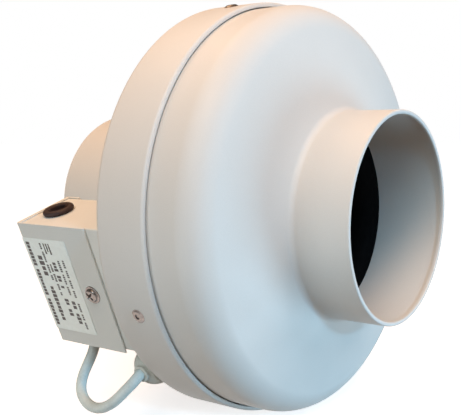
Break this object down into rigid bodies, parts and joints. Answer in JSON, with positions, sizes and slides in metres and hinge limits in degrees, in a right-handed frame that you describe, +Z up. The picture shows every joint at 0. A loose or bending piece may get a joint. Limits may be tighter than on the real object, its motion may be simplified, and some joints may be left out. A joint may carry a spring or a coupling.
{
  "type": "inline duct fan",
  "caption": "Inline duct fan: round sheet-metal casing with a duct spigot at each end, an external-rotor motor and impeller inside, and a terminal box with a motor cable.",
  "frame": {"origin": "on the fan axis, halfway between the two spigot rims", "axes": "+Y along the fan axis the way the air flows, +Z up, the terminal box on the -X side of the outlet face"},
  "size_m": [0.2576, 0.223, 0.2576],
  "materials": {
    "casing_paint": "smooth semi-gloss powder coat",
    "box_paint": "semi-gloss powder coat",
    "black_plastic": "moulded, fine grain",
    "zinc": "zinc plated",
    "dark_steel": "blackened",
    "bearing_steel": "ground",
    "laminations": "stacked sheet",
    "copper": "varnished winding wire",
    "cast_aluminium": "die cast",
    "brown_rubber": "moulded",
    "white_rubber": "moulded",
    "cable_grey": "smooth PVC sheath",
    "label_stock": "printed film",
    "white_plastic": "moulded",
    "wire_brown": "PVC insulation",
    "wire_blue": "PVC insulation",
    "wire_earth": "PVC insulation"
  },
  "bodies": {
    "fan_housing": {"casing_inlet_half": "casing_paint", "casing_outlet_half": "casing_paint", "inlet_nozzle": "black_plastic", "casing_rivet_1": "zinc", "casing_rivet_2": "zinc", "casing_rivet_3": "zinc", "casing_rivet_4": "zinc", "motor_bracket": "zinc", "motor_flange": "cast_aluminium", "motor_screw_1": "zinc", "motor_screw_2": "zinc", "motor_screw_3": "zinc", "motor_screw_4": "zinc", "motor_lead_boss": "black_plastic", "bearing_front_outer_ring": "bearing_steel", "bearing_rear_outer_ring": "bearing_steel", "stator_core": "laminations", "stator_winding": "copper", "terminal_box_tray": "box_paint", "terminal_box_cover": "box_paint", "cover_screw": "zinc", "box_rivet_1": "zinc", "box_rivet_2": "zinc", "supply_grommet": "brown_rubber", "cable_grommet": "brown_rubber", "rating_label": "label_stock", "capacitor": "white_plastic", "capacitor_clip": "zinc", "terminal_block": "white_plastic", "terminal_screw_1": "zinc", "terminal_screw_2": "zinc", "terminal_screw_3": "zinc", "terminal_screw_4": "zinc", "earth_screw": "zinc", "wire_brown": "wire_brown", "wire_blue": "wire_blue", "wire_earth": "wire_earth", "cable_gland": "white_rubber", "motor_cable": "cable_grey"},
    "rotor": {"motor_shaft": "bearing_steel", "rotor_can": "dark_steel", "rotor_core": "laminations", "bearing_front_inner_ring": "bearing_steel", "bearing_rear_inner_ring": "bearing_steel", "shaft_circlip": "dark_steel", "impeller_backplate": "black_plastic", "impeller_shroud": "black_plastic", "impeller_screw_1": "zinc", "impeller_screw_2": "zinc", "impeller_screw_3": "zinc", "impeller_screw_4": "zinc"}
  },
  "joints": [
    {"name": "impeller_spin", "type": "hinge", "parent": "fan_housing", "child": "rotor", "pos_m": [0, 0, 0], "axis": [0, 1, 0], "continuous": true}
  ]
}
